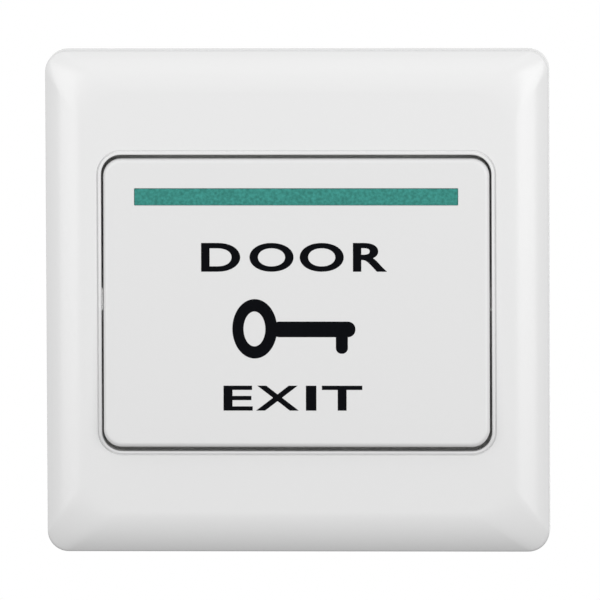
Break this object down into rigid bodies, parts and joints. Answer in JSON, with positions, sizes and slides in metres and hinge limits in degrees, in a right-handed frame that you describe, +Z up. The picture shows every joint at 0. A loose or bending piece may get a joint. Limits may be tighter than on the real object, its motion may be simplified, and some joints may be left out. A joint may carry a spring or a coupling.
{
  "type": "door exit button",
  "caption": "Square wall plate with a large hinged push plate that works a changeover switch; the frame snaps over a slotted mounting plate.",
  "frame": {"origin": "centre of the two wall screw slots, on the wall's surface", "axes": "+Z up, +X to the right seen from the front, the front faces -Y and the switch reaches into the wall box along +Y"},
  "size_m": [0.086, 0.0219, 0.086],
  "materials": {
    "frame_plastic": "gloss",
    "button_plastic": "satin",
    "plate_nylon": "matte",
    "switch_nylon": "matte",
    "plunger_acetal": "satin",
    "green_strip": "satin",
    "spring_steel": "satin",
    "terminal_brass": "satin",
    "leaf_bronze": "satin",
    "rivet_copper": "satin",
    "contact_silver": "satin",
    "plated_steel": "satin"
  },
  "bodies": {
    "base": {"front_frame": "frame_plastic", "mounting_plate": "plate_nylon", "return_spring": "spring_steel", "switch_housing": "switch_nylon", "switch_cover": "switch_nylon", "common_terminal": "terminal_brass", "normally_open_terminal": "terminal_brass", "normally_closed_terminal": "terminal_brass", "contact_leaf": "leaf_bronze", "leaf_rivet": "rivet_copper", "moving_contacts": "contact_silver", "normally_open_contact": "contact_silver", "normally_closed_contact": "contact_silver", "terminal_clamps": "plated_steel", "terminal_screws": "plated_steel", "fixing_screws": "plated_steel"},
    "push_plate": {"rocker_button": "button_plastic", "glow_strip": "green_strip"},
    "plunger": {"plunger": "plunger_acetal"}
  },
  "joints": [
    {"name": "push_plate_hinge", "type": "hinge", "parent": "base", "child": "push_plate", "pos_m": [0, -0.0054, 0.0195], "axis": [1, 0, 0], "range_deg": [0, 3], "stiffness_Nm_per_rad": 0.3, "springref_deg": -17.19, "deforming": ["return_spring"]},
    {"name": "plunger_slide", "type": "slide", "parent": "base", "child": "plunger", "axis": [0, 1, 0], "range_m": [0, 0.00135], "deforming": ["contact_leaf", "moving_contacts"]}
  ],
  "couplings": [
    {"joint": "plunger_slide", "follows": "push_plate_hinge", "m_per_rad": 0.0245}
  ]
}
